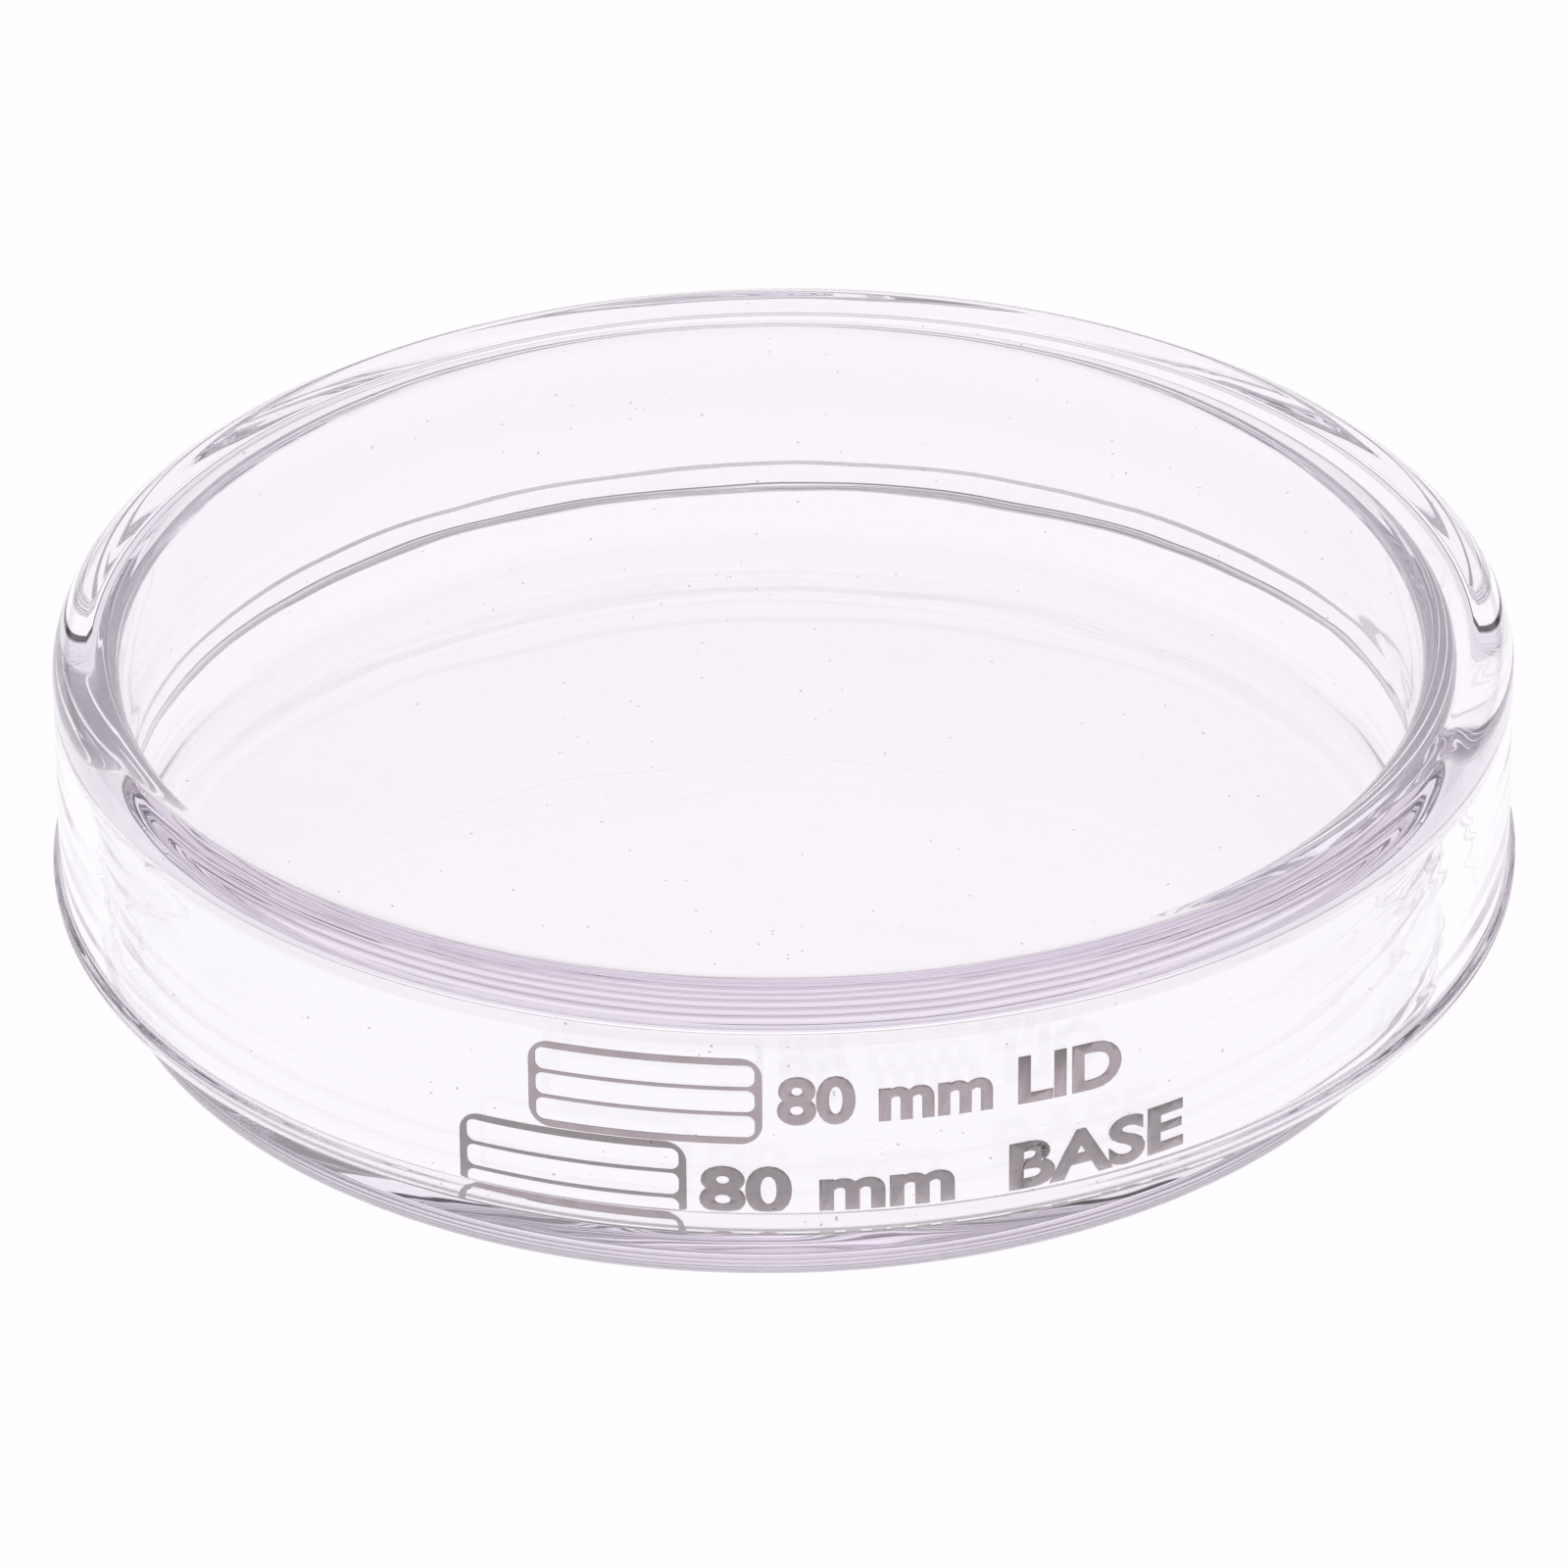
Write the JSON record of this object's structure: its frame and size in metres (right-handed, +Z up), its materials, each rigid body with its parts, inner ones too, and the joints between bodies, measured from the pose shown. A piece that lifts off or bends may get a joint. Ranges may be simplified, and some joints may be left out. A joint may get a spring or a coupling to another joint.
{
  "type": "petri dish",
  "caption": "Round glass petri dish: a shallow flat base under a wider loose lid, each with a fired enamel marking field on its wall.",
  "frame": {"origin": "centre of the base's flat underside", "axes": "+Z up along the base's axis; -Y is the side with the marking fields; the lid's axis is 0.65 mm towards +X, because the loose lid sits a little off centre"},
  "size_m": [0.0807, 0.0808, 0.0202],
  "materials": {
    "clear_glass": "clear, fire-polished",
    "fired_enamel": "warm grey fired ceramic ink, satin"
  },
  "bodies": {
    "base": {"dish_base": "clear_glass", "base_marking_field": "fired_enamel"},
    "lid": {"dish_lid": "clear_glass", "lid_marking_field": "fired_enamel"}
  },
  "joints": [
    {"name": "lid_lift", "type": "slide", "parent": "base", "child": "lid", "axis": [0, 0, 1], "range_m": [0, 0.03]}
  ]
}
